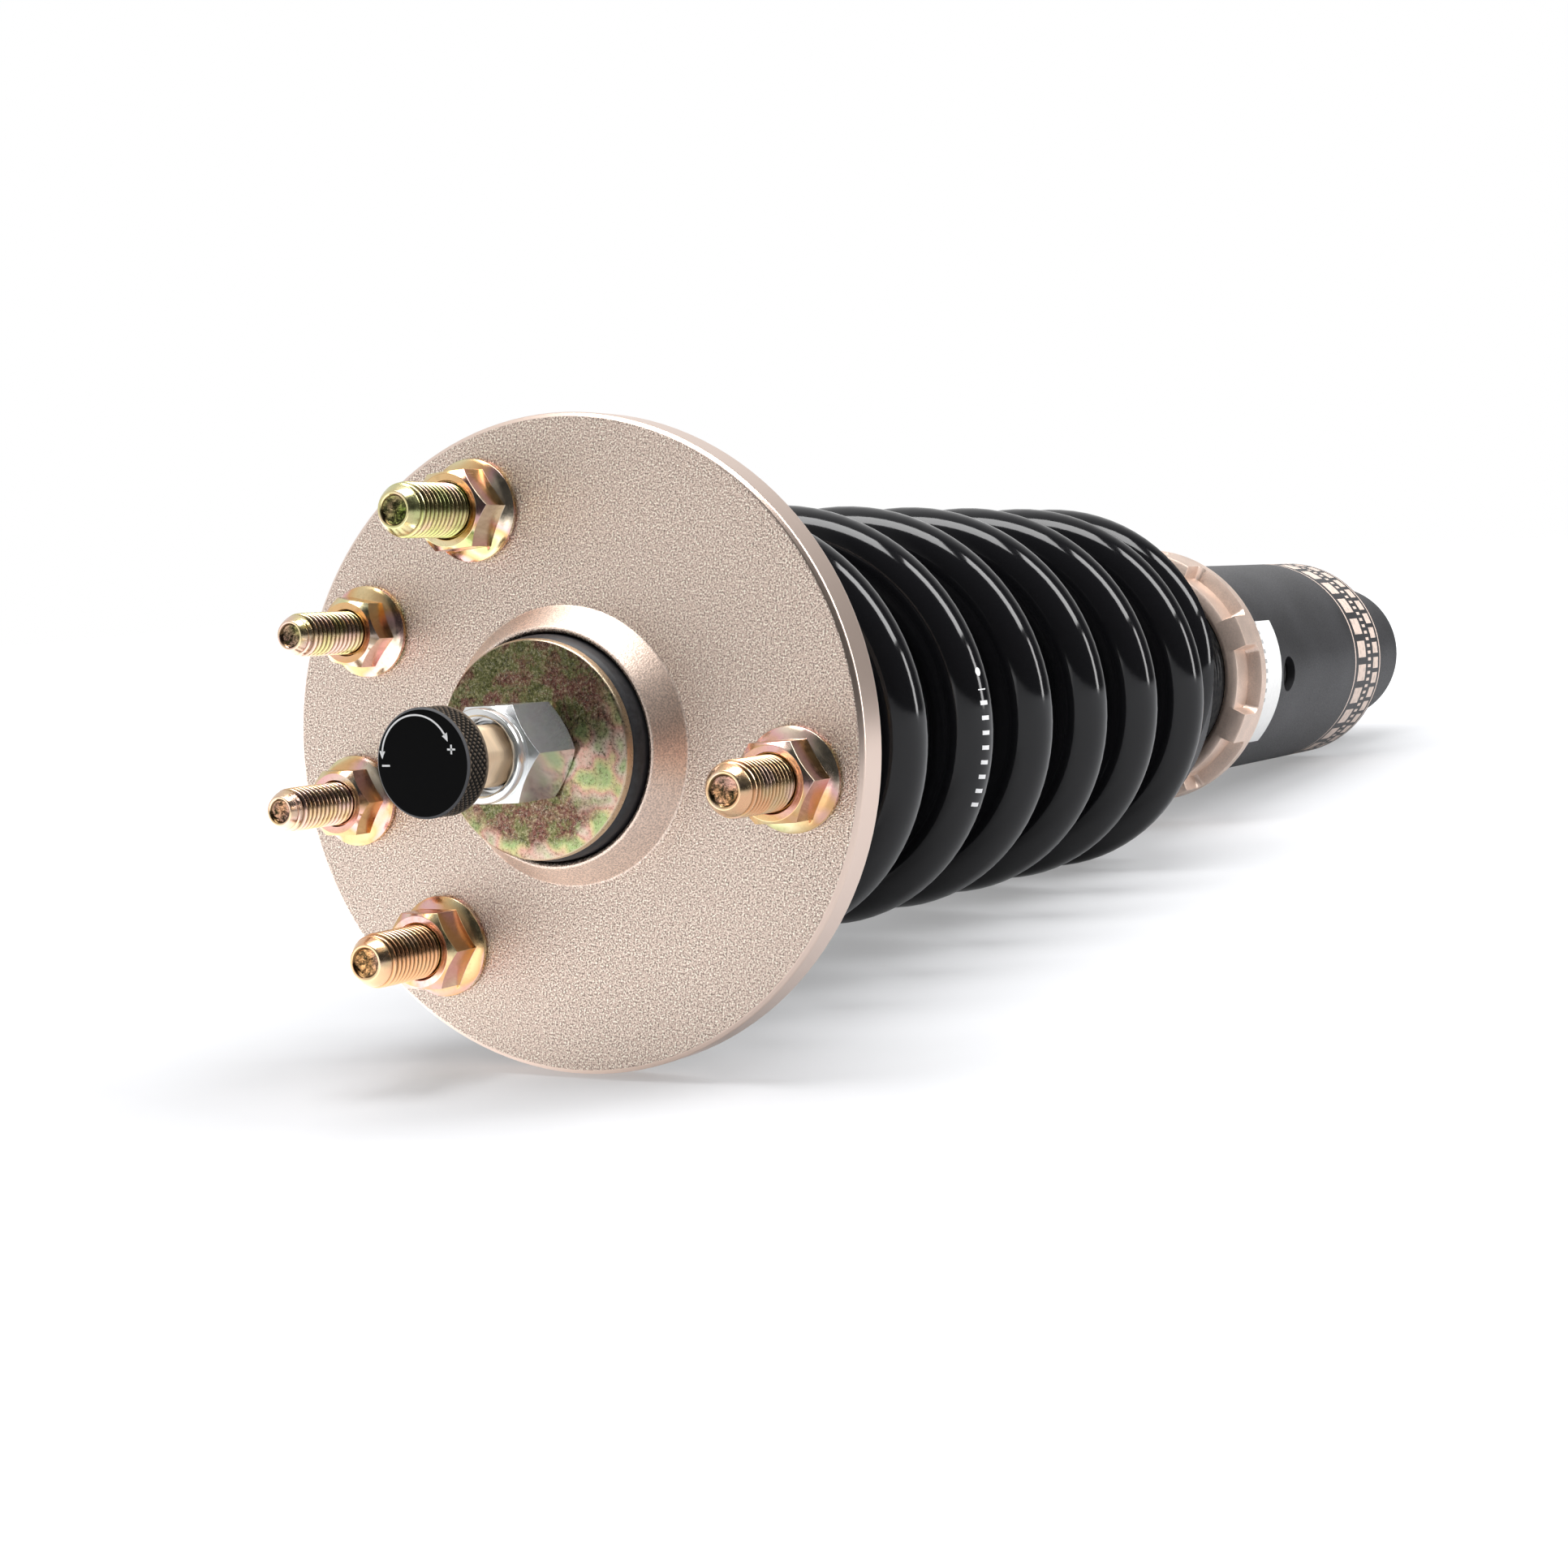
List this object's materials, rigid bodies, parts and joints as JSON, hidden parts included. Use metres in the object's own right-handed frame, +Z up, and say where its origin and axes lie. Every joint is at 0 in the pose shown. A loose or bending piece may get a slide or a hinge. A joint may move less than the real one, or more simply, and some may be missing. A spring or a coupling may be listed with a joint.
{
  "type": "coilover strut",
  "caption": "Ride-height adjustable coilover strut with studded top plate, coil spring, damping knob and clamp-in lower bracket.",
  "frame": {"origin": "centre of the top plate's mounting face, on the damper axis", "axes": "+Z up the damper axis out of the plate; -Y towards the lone large stud; the pair of small studs lies along X on the +Y side"},
  "size_m": [0.12, 0.12, 0.4993],
  "materials": {
    "champagne_anodised": "fine blasted and anodised, champagne",
    "champagne_matt": "matt champagne anodised",
    "plain_aluminium": "turned, plain",
    "black_anodised": "satin black anodised",
    "yellow_zinc": "iridescent yellow zinc plate",
    "olive_zinc": "mottled olive zinc plate, scratched",
    "clear_zinc": "bright clear zinc plate",
    "bearing_steel": "polished hardened steel",
    "black_steel": "black phosphate",
    "hard_chrome": "ground hard chrome",
    "brass": "turned brass",
    "gloss_black_coat": "gloss black powder coat",
    "satin_black_coat": "satin black coat",
    "black_rubber": "black moulded rubber",
    "foam": "microcellular polyurethane foam",
    "seal_plastic": "filled nylon and PTFE",
    "paper": "plain white label"
  },
  "bodies": {
    "top_mount": {"top_plate": "champagne_anodised", "large_studs": "yellow_zinc", "small_studs": "yellow_zinc", "large_flange_nuts": "yellow_zinc", "small_flange_nuts": "yellow_zinc", "upper_cushion": "black_rubber", "lower_cushion": "black_rubber", "bush_sleeve": "clear_zinc", "top_washer": "olive_zinc", "lower_washer": "olive_zinc", "rod_nut": "clear_zinc", "adjuster_housing": "champagne_anodised", "detent_ball": "bearing_steel", "detent_spring": "bearing_steel", "bearing_upper_race": "bearing_steel", "piston_rod": "hard_chrome", "bump_stop": "foam", "piston": "plain_aluminium", "piston_band": "seal_plastic", "compression_shims": "bearing_steel", "rebound_shims": "bearing_steel", "piston_nut": "clear_zinc", "rebound_stop": "seal_plastic"},
    "knob": {"adjuster_knob": "black_anodised", "adjuster_spindle": "brass", "knob_grub_screw": "black_steel"},
    "needle": {"metering_needle": "bearing_steel"},
    "upper_seat": {"upper_spring_seat": "black_anodised", "bearing_lower_race": "bearing_steel", "bearing_balls": "bearing_steel", "bearing_cage": "seal_plastic", "coil_spring": "gloss_black_coat", "dust_boot": "black_rubber"},
    "perch": {"lower_spring_seat": "black_anodised", "perch_lock_ring": "black_anodised"},
    "damper_body": {"damper_tube": "black_steel", "base_cap": "plain_aluminium", "gas_screw": "black_steel", "rod_guide": "plain_aluminium", "rod_wiper": "black_rubber", "rod_seal": "black_rubber", "rod_bushing": "seal_plastic", "guide_snap_ring": "bearing_steel", "floating_piston": "plain_aluminium", "floating_piston_ring": "black_rubber"},
    "lower_bracket": {"bracket_lock_ring": "champagne_matt", "bracket_tube": "satin_black_coat", "fork_spigot": "satin_black_coat", "setup_label": "paper"}
  },
  "joints": [
    {"name": "knob_turn", "type": "hinge", "parent": "top_mount", "child": "knob", "pos_m": [0, 0, 0.0387], "axis": [0, 0, 1], "range_deg": [-900, 0]},
    {"name": "needle_travel", "type": "slide", "parent": "top_mount", "child": "needle", "axis": [0, 0, 1], "range_m": [-0.002, 0]},
    {"name": "strut_swivel", "type": "hinge", "parent": "top_mount", "child": "upper_seat", "pos_m": [0, 0, -0.007], "axis": [0, 0, 1], "range_deg": [-45, 45]},
    {"name": "damper_stroke", "type": "slide", "parent": "upper_seat", "child": "perch", "axis": [0, 0, 1], "range_m": [0, 0.055], "stiffness_N_per_m": 98000, "deforming": ["coil_spring"]},
    {"name": "perch_height", "type": "slide", "parent": "perch", "child": "damper_body", "axis": [0, 0, 1], "range_m": [0, 0.012]},
    {"name": "ride_height", "type": "slide", "parent": "damper_body", "child": "lower_bracket", "axis": [0, 0, 1], "range_m": [-0.015, 0.02]}
  ],
  "couplings": [
    {"joint": "knob_turn", "follows": "needle_travel", "rad_per_m": 7853.9}
  ]
}
